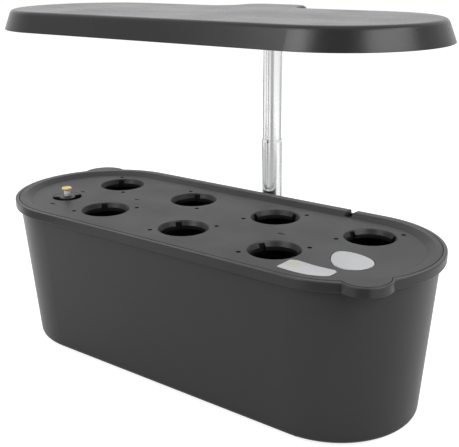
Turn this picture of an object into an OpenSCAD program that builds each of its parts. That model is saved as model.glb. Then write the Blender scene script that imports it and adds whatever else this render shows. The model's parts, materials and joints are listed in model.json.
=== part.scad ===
// Countertop hydroponic garden: a tapered water tank with a lift-out planting deck,
// a telescopic mast behind it and a lamp over it.
// Millimetres. +X is the control end, +Y the mast side, +Z up, z = 0 the table.

/* [Tank] */
// Length of the tank over its rim
tank_l = 400; // [396:1:430]
// Width of the tank over its rim
tank_w = 158; // [154:1:164]
// Height of the rim above the table
tank_h = 133.3; // [128:0.1:150]
// How far each side leans in between the rim and the floor
tank_taper = 9.4; // [7:0.1:11]
// Thickness of the tank's walls
tank_wall = 2.4; // [2:0.1:3]
// Thickness of the tank's floor
tank_floor = 3; // [2.4:0.1:4]
// Radius of the rounded edge round the tank's bottom
tank_fillet = 5; // [3:0.5:7]
// Height of the band round the rim
band_h = 7.5; // [6.5:0.1:9]
// How far the band stands out from the wall
band_out = 4.2; // [3.6:0.1:5]
// Wall of the band where it stands round the deck
band_wall = 3; // [2.6:0.1:3.4]
// How far the shelf that carries the deck lies below the rim
shelf_drop = 4.5; // [4:0.1:5.4]

/* [Feet] */
// Height of the rubber feet under the tank
foot_h = 2.5; // [2:0.1:4]
// Radius of a foot
foot_r = 6.5; // [5:0.1:8]
// How deep a foot sits in the tank's floor
foot_sink = 1; // [0.6:0.1:1.4]
// Distance of a foot from the middle of the tank, front to back
foot_y = 53; // [40:1:54]

/* [Lift tabs] */
// Radius of a lift tab's round end
tab_r = 19.8; // [16:0.1:22]
// How far a tab stands out from the rim
tab_out = 9.8; // [7:0.1:12]
// Wall of the tank round a tab
tab_wall = 1.6; // [1.2:0.1:2.4]

/* [Deck] */
// Thickness of the deck
deck_t = 2.5; // [2:0.1:3]
// Gap between the deck's edge and the tank's band
deck_gap = 0.4; // [0.3:0.05:0.6]
// How far the deck's lip stands above the tank's rim
lip_rise = 0.3; // [0.1:0.1:0.8]
// Width of the deck's lip
lip_w = 5; // [4:0.1:6]
// How far the deck's floor lies below its lip
lip_step = 3.3; // [2.4:0.1:4]
// Width of the slope from the lip down to the floor
slope_w = 6; // [3:0.1:8]
// Height of the skirt that centres the deck in the tank
skirt_h = 7; // [5:0.5:10]
// Thickness of that skirt
skirt_t = 2; // [1.6:0.1:2.4]
// Gap between the skirt and the tank's wall at the shelf
skirt_gap = 1.2; // [0.9:0.1:1.6]

/* [Plant sites] */
// Distance between plant sites along a row
site_pitch = 87; // [84:0.5:90]
// Distance of each row from the middle of the deck
row_y = 33; // [31:0.5:35]
// Radius of a plant opening at the deck's surface
site_r = 20.5; // [19:0.1:21.5]
// Radius of the throat below it
throat_r = 18.2; // [17:0.1:18.6]
// Depth of the bevel down to the throat
bevel_h = 4; // [2.5:0.1:5]
// Depth of the throat ring
throat_h = 3; // [2:0.1:4]
// Wall of the collar round a plant opening
collar_wall = 1.6; // [1.2:0.1:2]
// Depth of the collar below the deck's surface
collar_h = 8; // [7.2:0.1:20]
// Width of the three entry notches in the throat
notch_w = 5; // [3:0.1:7]
// Distance of the two peg holes from the middle of a plant opening
peg_reach = 26.6; // [25.5:0.1:27.4]
// Radius of a peg hole
peg_r = 1.9; // [1.5:0.1:2.2]

/* [Cable notch] */
// Distance of the cable notch from the mast, along the rim
cable_x = 92.4; // [70:0.2:100]
// Width of the cable notch
cable_w = 6.6; // [6:0.1:11]
// Depth of the cable notch below the rim
cable_drop = 2.8; // [2:0.1:6]

/* [Water gauge] */
// Distance of the water inlet beyond the centre of the round end
inlet_x = 22.2; // [20:0.1:24]
// Distance of the water inlet in front of the middle
inlet_y = 25.2; // [23:0.1:27]
// Radius of the water inlet
inlet_r = 12.5; // [12:0.1:13.5]
// Radius of the hub that guides the gauge
hub_r = 6.8; // [6:0.1:7.2]
// Radius of the hub's tube below the deck
hub_tube_r = 4.2; // [3.8:0.1:5]
// Height of the hub below the deck's surface
hub_h = 12; // [9:0.5:16]
// Radius of the gauge's pin in the hub
pin_r = 2; // [1.6:0.1:2.3]
// Radius of the gauge's visible stem
stem_r = 2.75; // [2.6:0.05:3.2]
// Height of the visible stem
stem_h = 5.3; // [4:0.1:8]
// Radius of the gauge's cap
cap_r = 4.5; // [4:0.1:6]
// Height of the gauge's cap
cap_h = 2.8; // [2.4:0.1:5]
// Radius of the float
float_r = 9.5; // [8:0.1:11]
// Height of the float
float_h = 14; // [10:0.5:20]
// How far the gauge rises
float_travel = 18; // [12:1:20]

/* [Controls] */
// Distance of the key beyond the centre of the round end
key_x = 21.8; // [21:0.1:25]
// Distance of the key in front of the middle
key_y = 20; // [18:0.5:21]
// Half length of the egg-shaped key
key_a = 18.9; // [17:0.1:21]
// Half width of the egg-shaped key
key_b = 14.2; // [13:0.1:16]
// How much the key narrows towards its small end
key_egg = 0.28; // [0.05:0.01:0.3]
// Turn of the key's long axis
key_turn = 145; // [130:1:150]
// Height of the key above the deck's surface
key_proud = 0.5; // [0.3:0.1:1]
// Gap round the key in its recess
key_gap = 0.5; // [0.4:0.05:0.8]
// Width of the key's retaining flange
key_flange = 1.6; // [1.2:0.1:2]
// Travel of the key
key_travel = 0.8; // [0.5:0.1:1]
// Length of the control housing under the deck
case_l = 50; // [48:0.5:52]
// Width of the control housing
case_w = 46; // [44:0.5:48]
// Depth of the control housing
case_h = 17; // [15:0.5:22]
// Wall of the control housing
case_wall = 1.8; // [1.5:0.1:2.2]
// Thickness of the gasket on top of the control housing
gasket_t = 0.8; // [0.6:0.1:1.2]
// Thickness of the control board
board_t = 1.6; // [1.2:0.1:2]

/* [Pump] */
// Length of the pump's housing
pump_l = 40; // [36:1:46]
// Width of the pump's housing
pump_w = 32; // [28:1:36]
// Height of the pump's housing
pump_h = 28; // [27:1:34]
// Radius of the impeller
impeller_r = 9; // [7:0.1:9.4]
// Radius of the impeller's ceramic shaft
shaft_r = 1; // [0.8:0.1:1.5]
// Height of the suction cups under the pump
cup_h = 5; // [4:0.5:8]
// Radius of the pump's outlet pipe
nozzle_r = 5; // [4:0.1:6]
// Height of the pump's outlet pipe
nozzle_h = 12; // [8:1:20]

/* [Mast] */
// Radius of the lower tube
lower_r = 9.5; // [9.3:0.1:11]
// Radius of the upper tube
upper_r = 8.5; // [8:0.05:8.6]
// Wall of the upper tube
upper_wall = 1; // [0.8:0.1:1.4]
// Running clearance between the tubes
tube_fit = 0.05; // [0.02:0.01:0.08]
// Depth of the long grooves in both tubes
groove_d = 0.45; // [0.3:0.05:0.5]
// Width of the long grooves
groove_w = 2.2; // [1.6:0.1:3]
// Gap between the rim and the lower tube
mast_gap = 3.5; // [3:0.1:6]
// Height of the drawn-in neck of the lower tube
neck_h = 2.4; // [1.5:0.1:4]
// How far the lamp can be raised
lamp_travel = 110; // [60:1:120]
// How far the tubes still overlap with the lamp fully raised
tube_grip = 38.7; // [30:0.1:50]

/* [Mast socket] */
// Height of the socket's underside above the table
socket_z = 20; // [14:1:30]
// Wall of the socket round the lower tube
socket_wall = 3.6; // [3:0.1:5]
// Thickness of the socket's floor
socket_floor = 6; // [4:0.5:10]
// Width of the socket's flange on the tank
flange_w = 58; // [54:1:66]
// Thickness of the flange
flange_t = 3.5; // [3:0.1:5]
// Distance of the fixing screws from the mast's middle
fix_x = 22; // [20:0.5:23]

/* [Lamp] */
// Length of the lamp at its lower edge
lamp_l = 390; // [380:1:420]
// Width of the lamp at its lower edge
lamp_w = 150; // [144:1:156]
// Height of the lamp's lower edge above the table
lamp_z = 279.5; // [262:0.5:300]
// Height of the lamp
lamp_h = 15.5; // [13:0.1:18]
// How far the lamp's sides lean in towards its top
lamp_lean = 6.1; // [4:0.1:10]
// Radius of the lamp's rounded top edge
lamp_round = 4.4; // [1:0.1:5]
// Wall of the lamp's housing
lamp_wall = 2.7; // [2.2:0.1:3]
// Half width of the lobe over the mast at the lower edge
lobe_half = 37; // [33:0.5:42]
// Room in the lobe behind the clamp of the tube, under its roof
lobe_back = 0.9; // [0.4:0.1:6]
// Radius of the lobe's rear corners at the lower edge
lobe_corner = 22; // [20:0.5:26]
// Radius of the hollow corners between the lobe and the lamp's side
lobe_hollow = 12; // [8:0.5:16]
// Thickness of the LED panel
panel_t = 1.6; // [1.2:0.1:2]
// How far the LED panel lies above the lamp's lower edge
panel_up = 3; // [2.4:0.1:4]
// Distance between LEDs along the lamp
led_pitch_x = 19; // [18:0.5:24]
// Distance between LEDs across the lamp
led_pitch_y = 21; // [18:0.5:24]

/* [Hidden] */
$fn = 96;

eps = 0.01;
seat = 0.3;          // gap of a piece that only rests near its neighbour
screw_fit = 0.1;     // radial gap of a screw's shank in its hole

// Tank
rim_r = tank_w / 2;
half = tank_l / 2 - rim_r;              // centres of the round ends
wall_top_r = rim_r - band_out;
wall_bottom_r = wall_top_r - tank_taper;
band_z = tank_h - band_h;
shelf_z = tank_h - shelf_drop;
floor_z = foot_h + tank_floor;
lean = tank_taper / (band_z - foot_h);
lean_angle = atan(lean);
tab_reach = rim_r + tab_out - tab_r;
band_edge = 0.8;                        // rounding of the band's edges
tab_edge = 0.5;
foot_x = half + 3;

// Deck
lid_r = rim_r - band_wall - deck_gap;
lip_z = tank_h + lip_rise;
deck_z = lip_z - lip_step;
deck_under = deck_z - deck_t;
slope_top_r = lid_r - lip_w;
slope_foot_r = slope_top_r - slope_w;
skirt_r = wall_r(shelf_z) - tank_wall - skirt_gap;
lid_tab_r = tab_r - tab_wall - deck_gap;
lid_tab_edge = 0.3;

// Plant sites, from the left end to the control end
site_reach = 12;                        // furthest place of a site beyond the centre of a round end
site_count = 2 * floor((half + site_reach) / (site_pitch / 2)) + 1;
sites = [for (i = [0 : site_count - 1])
    [(i - (site_count - 1) / 2) * site_pitch / 2, i % 2 == 0 ? row_y : -row_y]];
peg_turns = [-45, 45, -45, 45, 45, 45, 45];
notch_count = 3;
notch_turns = [138, 138, 119, 142, 66, 153, 163];
notch_deep = 0.6;
notch_top = 1.2;                        // the notches end this far below the deck
collar_in_r = throat_r + 1.2;
collar_r = collar_in_r + collar_wall;

// Small slots through the deck: place of each
slot_l = 6.5;
slot_w = 1.5;
slots = [[-half - 16, -48], [-half - 22, -6], [-85, 4], [71, 0]];

// Water gauge
inlet = [-half - inlet_x, -inlet_y];
inlet_edge = 0.8;                       // bevel round the inlet
bridge_from = 70;                       // sector that carries the hub
bridge_to = 220;
stem_z = deck_z + 0.6;
cap_z = stem_z + stem_h;
hub_bottom = deck_under - hub_h;
float_z = hub_bottom - float_travel - 1 - float_h;
guide_fit = 0.3;

// Controls
key_at = [half + key_x, -key_y];
case_at = [half + key_x - 0.3, -key_y + 1];
case_corner = 11;
key_top = deck_z + key_proud;
key_edge = 0.8;
flange_top = deck_under - 0.2;
flange_h = 1.4;
case_top = deck_under - gasket_t;
case_z = case_top - case_h;
post_h = 6;
post_r = 2;
board_z = case_z + case_wall + post_h;
board_gap = 0.3;
switch_top = flange_top - flange_h - key_travel - 0.1;
switch_l = 6;
switch_h = 3.4;
plunger_r = 1.75;
column_r = 2.8;
column_inset = 5.5;
case_screw_r = 1.2;
case_grip = 1.8;                        // how far the case screws reach into the deck
jack_r = 4;
jack_h = 9;
jack_hole_r = 2.2;
columns_at = [for (x = [-1, 1], y = [-1, 1])
    [x * (case_l / 2 - column_inset), y * (case_w / 2 - column_inset)]];
posts_at = [for (x = [-11, 11], y = [-13, 13]) [x, y]];
jacks_at = [[-15, 0], [15, 0]];

// Pump
pump_at = [half + 6, 0];
pump_z = floor_z + cup_h;
shaft_z = pump_z + pump_h / 2;
chamber_r = impeller_r + 1;
chamber_l = 9;
rotor_r = 6.5;
rotor_l = 14;
cover_t = 2.4;
shaft_gap = 0.05;
grille_count = 5;
grille_w = 1.6;

// Mast
mast_y = rim_r + mast_gap + lower_r;
lower_in_r = upper_r + tube_fit;
lower_z = socket_z + socket_floor;
socket_r = lower_r + tube_fit;
socket_out_r = socket_r + socket_wall;
socket_top = band_z - 4;
socket_fit = 0.02;                      // gap of the flange against the tank
glide_z = lower_z + seat;
glide_h = 5;
upper_z = glide_z + glide_h;
upper_top = lamp_z + lamp_h - lamp_wall - 1.5;
neck_z = upper_z + lamp_travel + tube_grip;
fix_end = 14;
fix_zs = [socket_z + fix_end, socket_top - fix_end];
fix_r = 1.6;
fix_head_r = 3.4;
fix_head_h = 2.2;
fix_depth = 6;
pad_r = 5;
pad_t = 6.5;

// Lamp
lamp_end_r = lamp_w / 2;
lamp_half = lamp_l / 2 - lamp_end_r;
lamp_top = lamp_z + lamp_h;
lamp_lean_rate = lamp_lean / lamp_h;
skin = lamp_wall * sqrt(1 + lamp_lean_rate * lamp_lean_rate);
panel_z = lamp_z + panel_up;
panel_gap = 0.4;
panel_r = lamp_end_r - skin - lamp_lean_rate * (panel_up + panel_t) - panel_gap;
led_l = 5;
led_w = 3.4;
led_t = 1;
clamp_r = upper_r + 2.2;
clamp_z = lamp_z + 3.6;
flange_plate = 2.5;
clamp_back = 8;                         // the clamp's flange lies this far in front of the mast
clamp_x = 16;
clamp_screw_r = 1.4;
clamp_ear = 10;
clamp_deep = 16;
clamp_corner = 4;
clamp_grip = 1.8;
roof_z = lamp_top - lamp_wall;
cover_gap = 0.4;
round_steps = 5;
boss_root = 0.5;                        // how far a boss reaches into the roof
cover_z = lamp_z + 0.8;
cover_plate = 1.8;
lobe_y = mast_y + clamp_r + lobe_back + skin + lamp_lean_rate * (roof_z - lamp_z);
led_margin = 9;
screw_boss_r = 3.2;
panel_screw_r = 1.2;
lamp_bite = 4.5;                        // how far the screws reach into the lamp's bosses
panel_head_r = 2.6;
panel_head_h = 1.4;
cover_head_r = 2.4;
cover_head_h = 0.7;
cover_screw_x = 19;
cover_screw_y = 4;                      // behind the mast's middle
panel_screws_at = [for (x = [-1, 0, 1], y = [-1, 1])
    [(5 * x + 0.5) * led_pitch_x, y * 1.5 * led_pitch_y]];
cover_screws_at = [for (s = [-1, 1]) [s * cover_screw_x, mast_y + cover_screw_y]];
leds = [for (i = [-9 : 9], j = [-2 : 2])
    let (x = i * led_pitch_x, y = j * led_pitch_y, over = max(0, abs(x) - lamp_half))
    if (norm([over, y]) < panel_r - led_margin) [x, y, (i + 3 * j + 40) % 8]];

// Radius of the tank's outer wall at a height
function wall_r(z) = wall_bottom_r + lean * (z - foot_h);

// Points of an arc round c with radius r, from angle a to angle b
function arc(c, r, a, b, n = 6) =
    [for (i = [0 : n]) [c[0] + r * cos(a + (b - a) * i / n), c[1] + r * sin(a + (b - a) * i / n)]];

// A half outline that starts and ends on the axis, completed to both sides
function both(p) =
    concat(p, [for (i = [len(p) - 1 : -1 : 0]) if (p[i][0] > 0) [-p[i][0], p[i][1]]]);

// The key's egg outline, grown by d
function egg(d, n = 72) =
    [for (i = [0 : n - 1]) let (t = 360 * i / n, k = 1 - key_egg * cos(t))
        [(key_a + d) * cos(t), (key_b + d) * k * sin(t)]];

// Round ends joined by straight sides, solid, from a half outline of radius and height
module long_solid(outline, centre = half) {
    for (s = [-1, 1])
        translate([s * centre, 0, 0])
            rotate([0, 0, -90 * s])
                rotate_extrude(angle = 180) polygon(outline);
    rotate([90, 0, 90])
        linear_extrude(height = 2 * centre, center = true) polygon(both(outline));
}

// A flat long plate with upright edges
module long_plate(r, z, h, centre = half) {
    long_solid([[0, z], [r, z], [r, z + h], [0, z + h]], centre);
}

// Puts its children on both lift tabs
module at_tabs() {
    for (s = [0, 180])
        rotate([0, 0, s])
            translate([half, 0, 0])
                rotate([0, 0, -45])
                    translate([tab_reach, 0, 0]) children();
}

// A disc with bevelled edges between two heights, for the lift tabs
module tab_disc(r, z0, z1, edge) {
    rotate_extrude()
        polygon([[0, z0], [r - edge, z0], [r, z0 + edge], [r, z1 - edge], [r - edge, z1], [0, z1]]);
}

// Puts its children on the four feet
module at_feet() {
    for (x = [-foot_x, foot_x], y = [-foot_y, foot_y])
        translate([x, y, 0]) children();
}

// Puts its children on the socket's screws, with +Z pointing out of the tank's wall
module at_fixings() {
    for (x = [-fix_x, fix_x], z = fix_zs)
        translate([x, wall_r(z), z])
            rotate([-90 - lean_angle, 0, 0]) children();
}

// A block with round corners, standing on z = 0
module round_block(l, w, h, r) {
    linear_extrude(height = h) {
        square([l, w - 2 * r], center = true);
        square([l - 2 * r, w], center = true);
        for (x = [-1, 1], y = [-1, 1])
            translate([x * (l / 2 - r), y * (w / 2 - r)]) circle(r);
    }
}

// A pan-head screw, head up, with the head's underside at z = 0
module screw(r, depth, head_r, head_h) {
    difference() {
        union() {
            translate([0, 0, -depth]) cylinder(r = r, h = depth + eps, $fn = 32);
            cylinder(r1 = head_r, r2 = head_r * 0.8, h = head_h, $fn = 32);
        }
        translate([0, 0, head_h * 0.45]) {
            for (a = [0, 90])
                rotate([0, 0, a])
                    translate([-head_r * 0.55, -head_r * 0.12, 0])
                        cube([head_r * 1.1, head_r * 0.24, head_h]);
        }
    }
}

module tank() {
    color([0.26, 0.26, 0.27])
    difference() {
        union() {
            long_solid(concat(
                [[0, foot_h]],
                arc([wall_r(foot_h + tank_fillet) - tank_fillet / cos(lean_angle), foot_h + tank_fillet],
                    tank_fillet, -90, -lean_angle, 8),
                [[wall_r(band_z), band_z]],
                arc([rim_r - band_edge, band_z + band_edge], band_edge, -90, 0, 4),
                arc([rim_r - band_edge, tank_h - band_edge], band_edge, 0, 90, 4),
                [[0, tank_h]]));
            at_tabs() tab_disc(tab_r, band_z, tank_h, tab_edge);
        }
        // room for water
        difference() {
            long_solid([[0, floor_z], [wall_r(floor_z) - tank_wall - 2, floor_z],
                [wall_r(floor_z + 2) - tank_wall, floor_z + 2],
                [wall_r(tank_h) - tank_wall, tank_h + 1], [0, tank_h + 1]]);
            // pads that take the socket's screws
            at_fixings() translate([0, 0, -pad_t - tank_wall]) cylinder(r = pad_r, h = pad_t + tank_wall);
        }
        // seat of the deck
        long_plate(rim_r - band_wall, shelf_z, shelf_drop + 1);
        at_tabs() translate([0, 0, shelf_z]) cylinder(r = tab_r - tab_wall, h = shelf_drop + 1);
        // cable notch in the rim
        translate([cable_x - cable_w / 2, wall_r(shelf_z) - tank_wall - 1, tank_h - cable_drop])
            cube([cable_w, rim_r, cable_drop + 1]);
        at_feet() translate([0, 0, foot_h - 1]) cylinder(r = foot_r + screw_fit, h = 1 + foot_sink);
        at_fixings() translate([0, 0, -fix_depth]) cylinder(r = fix_r + screw_fit, h = fix_depth + 1, $fn = 32);
    }
}

module rubber_feet() {
    color([0.1, 0.1, 0.1])
    at_feet() {
        cylinder(r1 = foot_r - 0.5, r2 = foot_r, h = 0.8);
        translate([0, 0, 0.8]) cylinder(r = foot_r, h = foot_h + foot_sink - 0.8);
    }
}

module mast_socket() {
    color([0.17, 0.17, 0.18])
    difference() {
        union() {
            // flange that follows the tank's wall
            intersection() {
                rotate([90, 0, 90])
                    linear_extrude(height = flange_w, center = true)
                        polygon([[wall_r(socket_z) + socket_fit, socket_z],
                            [wall_r(socket_z) + flange_t, socket_z],
                            [wall_r(socket_top) + flange_t, socket_top],
                            [wall_r(socket_top) + socket_fit, socket_top]]);
                translate([0, 2 * rim_r, (socket_z + socket_top) / 2])
                    rotate([90, 0, 0])
                        round_block(flange_w, socket_top - socket_z, 2 * rim_r, 8);
            }
            // neck between the flange and the sleeve
            rotate([90, 0, 90])
                linear_extrude(height = 2 * socket_out_r - 6, center = true)
                    polygon([[wall_r(socket_z) + 1, socket_z + 2], [mast_y, socket_z + 2],
                        [mast_y, socket_top - 2], [wall_r(socket_top) + 1, socket_top - 2]]);
            translate([0, mast_y, socket_z]) {
                cylinder(r1 = socket_out_r - 1.5, r2 = socket_out_r, h = 1.5);
                translate([0, 0, 1.5]) cylinder(r = socket_out_r, h = socket_top - socket_z - 3);
                translate([0, 0, socket_top - socket_z - 1.5])
                    cylinder(r1 = socket_out_r, r2 = socket_out_r - 1.5, h = 1.5);
            }
        }
        translate([0, mast_y, lower_z]) cylinder(r = socket_r, h = socket_top);
        at_fixings() translate([0, 0, -1]) cylinder(r = fix_r + screw_fit, h = flange_t + 4, $fn = 32);
    }
}

module socket_screws() {
    color([0.7, 0.7, 0.72])
    at_fixings()
        translate([0, 0, flange_t]) screw(fix_r, flange_t + fix_depth - 0.5, fix_head_r, fix_head_h);
}

// Cross-section of a tube with long grooves outside and a plain bore
module grooved(r, bore) {
    difference() {
        circle(r);
        circle(bore);
        for (a = [0 : 90 : 270])
            rotate(a) translate([r - groove_d, -groove_w / 2]) square([2, groove_w]);
    }
}

module lower_tube() {
    color([0.82, 0.83, 0.84])
    translate([0, mast_y, 0]) {
        translate([0, 0, lower_z])
            linear_extrude(height = neck_z - neck_h - lower_z) grooved(lower_r, lower_in_r);
        // neck drawn in against the upper tube
        translate([0, 0, neck_z - neck_h])
            difference() {
                cylinder(r1 = lower_r, r2 = lower_in_r + 0.45, h = neck_h);
                translate([0, 0, -1]) cylinder(r = lower_in_r, h = neck_h + 2);
            }
    }
}

module upper_tube() {
    color([0.86, 0.87, 0.88])
    translate([0, mast_y, upper_z])
        linear_extrude(height = upper_top - upper_z) grooved(upper_r, upper_r - upper_wall);
}

module tube_glide() {
    color([0.12, 0.12, 0.12])
    translate([0, mast_y, glide_z]) {
        cylinder(r1 = upper_r - 0.6, r2 = upper_r, h = 0.8);
        translate([0, 0, 0.8]) cylinder(r = upper_r, h = glide_h - 0.8);
        translate([0, 0, glide_h]) cylinder(r = upper_r - upper_wall - screw_fit, h = 8);
    }
}

// Half outline of radius r, drawn in at each height as the list of [draw, height] says
function drawn(r, draws) =
    concat([[0, draws[0][1]]], [for (p = draws) [r - p[0], p[1]]], [[0, draws[len(draws) - 1][1]]]);

// The lamp's plan, drawn in all round at each height as the list says
module lamp_form(draws) {
    corner_x = lobe_half - lobe_corner;
    corner_y = lobe_y - lobe_corner;
    hollow_x = lobe_half + lobe_hollow;
    hollow_y = lamp_end_r + lobe_hollow;
    z0 = draws[0][1];
    z1 = draws[len(draws) - 1][1];
    long_solid(drawn(lamp_end_r, draws), lamp_half);
    for (s = [-1, 1])
        translate([s * corner_x, corner_y, 0]) rotate_extrude() polygon(drawn(lobe_corner, draws));
    // back face and flanks of the lobe
    rotate([90, 0, 90])
        linear_extrude(height = 2 * corner_x, center = true) polygon(drawn(lobe_y, draws));
    translate([0, corner_y, 0])
        rotate([90, 0, 0])
            linear_extrude(height = corner_y) polygon(both(drawn(lobe_half, draws)));
    // hollow corners beside the lobe
    for (m = [0, 1])
        mirror([m, 0, 0])
            difference() {
                translate([0, 0, z0]) cube([hollow_x, hollow_y, z1 - z0]);
                translate([hollow_x, hollow_y, 0])
                    rotate_extrude()
                        polygon(drawn(lobe_hollow, [for (p = draws) [-p[0], p[1]]]));
            }
}

// The lean of the lamp's side between two heights, as draws, set in by d
function leaning(d, z0, z1) =
    [for (z = [z0, z1]) [d + lamp_lean_rate * (z - lamp_z), z]];

// The lean up to the rounded top edge, and that edge
function lamp_draws() =
    let (tilt = atan(lamp_lean_rate), edge_z = lamp_top - lamp_round,
        edge_d = lamp_lean_rate * (edge_z - lamp_z) + lamp_round / cos(tilt))
        concat([[0, lamp_z]],
            [for (i = [0 : round_steps]) let (a = tilt + (90 - tilt) * i / round_steps)
                [edge_d - lamp_round * cos(a), edge_z + lamp_round * sin(a)]]);

// A screw boss that hangs from the lamp's roof down to z
module lamp_boss(z) {
    translate([0, 0, z])
        difference() {
            cylinder(r = screw_boss_r, h = roof_z - z + boss_root, $fn = 32);
            translate([0, 0, -1]) cylinder(r = panel_screw_r + screw_fit, h = 6, $fn = 32);
        }
}

module lamp_housing() {
    color([0.24, 0.24, 0.25]) {
        difference() {
            lamp_form(lamp_draws());
            lamp_form(leaning(skin, lamp_z - 1, roof_z));
            for (x = [-clamp_x, clamp_x])
                translate([x, mast_y - clamp_back, roof_z - 1])
                    cylinder(r = clamp_screw_r + screw_fit, h = 1 + clamp_grip, $fn = 32);
        }
        for (p = panel_screws_at)
            translate([p[0], p[1], 0]) lamp_boss(panel_z + panel_t);
        for (p = cover_screws_at)
            translate([p[0], p[1], 0]) lamp_boss(cover_z + cover_plate);
    }
}

module tube_clamp() {
    color([0.2, 0.2, 0.21])
    difference() {
        union() {
            translate([0, mast_y, clamp_z]) cylinder(r = clamp_r, h = roof_z - clamp_z);
            translate([0, mast_y - clamp_back, roof_z - flange_plate])
                round_block(2 * clamp_x + clamp_ear, clamp_deep, flange_plate, clamp_corner);
        }
        translate([0, mast_y, clamp_z - 1]) cylinder(r = upper_r + tube_fit, h = upper_top + 1 - clamp_z);
        for (x = [-clamp_x, clamp_x])
            translate([x, mast_y - clamp_back, clamp_z])
                cylinder(r = clamp_screw_r + screw_fit, h = lamp_h, $fn = 32);
    }
}

module clamp_screws() {
    color([0.7, 0.7, 0.72])
    for (x = [-clamp_x, clamp_x])
        translate([x, mast_y - clamp_back, roof_z - flange_plate])
            rotate([180, 0, 0]) screw(clamp_screw_r, flange_plate + clamp_grip - 0.2, 2.8, 1.8);
}

module led_panel() {
    color([0.93, 0.93, 0.92])
    difference() {
        long_plate(panel_r, panel_z, panel_t, lamp_half);
        for (p = panel_screws_at)
            translate([p[0], p[1], panel_z - 1])
                cylinder(r = panel_screw_r + screw_fit, h = panel_t + 2, $fn = 32);
    }
}

// The LEDs of the listed kinds, on the panel's underside
module led_group(kinds) {
    for (p = leds)
        if (len(search(p[2], kinds)) > 0)
            translate([p[0] - led_l / 2, p[1] - led_w / 2, panel_z - led_t]) cube([led_l, led_w, led_t]);
}

module white_leds() {
    color([0.97, 0.93, 0.72]) led_group([1, 3, 4, 6, 7]);
}

module red_leds() {
    color([0.85, 0.3, 0.28]) led_group([2, 5]);
}

module blue_leds() {
    color([0.35, 0.5, 0.9]) led_group([0]);
}

module panel_screws() {
    color([0.75, 0.75, 0.77])
    for (p = panel_screws_at)
        translate([p[0], p[1], panel_z])
            rotate([180, 0, 0]) screw(panel_screw_r, panel_t + lamp_bite, panel_head_r, panel_head_h);
}

module lobe_cover() {
    color([0.22, 0.22, 0.23])
    difference() {
        intersection() {
            lamp_form(leaning(skin + cover_gap, cover_z, cover_z + cover_plate));
            translate([-lobe_half - lobe_hollow, panel_r - 4, cover_z - 1])
                cube([2 * (lobe_half + lobe_hollow), lobe_y, cover_plate + 2]);
        }
        translate([0, mast_y, cover_z - 1]) cylinder(r = upper_r + seat, h = cover_plate + 2);
        for (p = cover_screws_at)
            translate([p[0], p[1], cover_z - 1])
                cylinder(r = panel_screw_r + screw_fit, h = cover_plate + 2, $fn = 32);
    }
}

module cover_screws() {
    color([0.2, 0.2, 0.2])
    for (p = cover_screws_at)
        translate([p[0], p[1], cover_z])
            rotate([180, 0, 0]) screw(panel_screw_r, cover_plate + lamp_bite, cover_head_r, cover_head_h);
}

// What is cut from the deck at one plant site, and the site's two peg holes
module site_cut(turn, notch_turn) {
    translate([0, 0, -bevel_h]) cylinder(r1 = throat_r, r2 = site_r, h = bevel_h);
    cylinder(r = site_r, h = 1);
    translate([0, 0, -collar_h - 1]) cylinder(r = throat_r, h = collar_h + 1 - bevel_h + eps);
    translate([0, 0, -collar_h - 1]) cylinder(r = collar_in_r, h = collar_h + 1 - bevel_h - throat_h);
    for (a = [0 : 360 / notch_count : 359])
        rotate([0, 0, notch_turn + a])
            translate([0, -notch_w / 2, -collar_h - 1])
                cube([collar_in_r + notch_deep, notch_w, collar_h + 1 - notch_top]);
    for (s = [-1, 1])
        rotate([0, 0, turn])
            translate([s * peg_reach, 0, -deck_t - 1]) cylinder(r = peg_r, h = deck_t + 2, $fn = 32);
}

module deck() {
    color([0.3, 0.3, 0.31])
    difference() {
        union() {
            long_solid([[0, deck_z], [slope_foot_r, deck_z], [slope_top_r, lip_z],
                [lid_r - 0.5, lip_z], [lid_r, lip_z - 0.5], [lid_r, shelf_z],
                [skirt_r, shelf_z], [skirt_r, shelf_z - skirt_h],
                [skirt_r - skirt_t, shelf_z - skirt_h], [skirt_r - skirt_t, deck_under], [0, deck_under]]);
            // tongues of the lift tabs
            difference() {
                at_tabs() tab_disc(lid_tab_r, shelf_z, lip_z, lid_tab_edge);
                long_plate(slope_top_r + 1, shelf_z - 1, shelf_drop + lip_rise + 2);
            }
            for (p = sites)
                translate([p[0], p[1], deck_z - collar_h]) cylinder(r = collar_r, h = collar_h - 0.5);
        }
        for (i = [0 : site_count - 1])
            translate([sites[i][0], sites[i][1], deck_z]) 
                site_cut(peg_turns[i % len(peg_turns)], notch_turns[i % len(notch_turns)]);
        for (p = slots)
            translate([p[0], p[1], deck_under - 1])
                linear_extrude(height = deck_t + 2) {
                    square([slot_l - slot_w, slot_w], center = true);
                    for (s = [-1, 1]) translate([s * (slot_l - slot_w) / 2, 0]) circle(d = slot_w, $fn = 24);
                }
        // water inlet
        translate([inlet[0], inlet[1], 0]) {
            translate([0, 0, deck_under - 1]) cylinder(r = inlet_r, h = deck_t + 2);
            translate([0, 0, deck_z - inlet_edge])
                cylinder(r1 = inlet_r, r2 = inlet_r + inlet_edge, h = inlet_edge + eps);
        }
        // key recess
        translate([key_at[0], key_at[1], deck_under - 1])
            rotate([0, 0, key_turn]) linear_extrude(height = deck_t + 2) polygon(egg(key_gap));
        // cable notch through the lip and slope
        translate([cable_x - cable_w / 2, slope_foot_r + 1, deck_under - skirt_h])
            cube([cable_w, rim_r, skirt_h + deck_t + lip_step + 1]);
        for (p = columns_at)
            translate([case_at[0] + p[0], case_at[1] + p[1], deck_under - 1])
                cylinder(r = case_screw_r + screw_fit, h = 1 + case_grip + 0.2, $fn = 32);
    }
}

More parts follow.
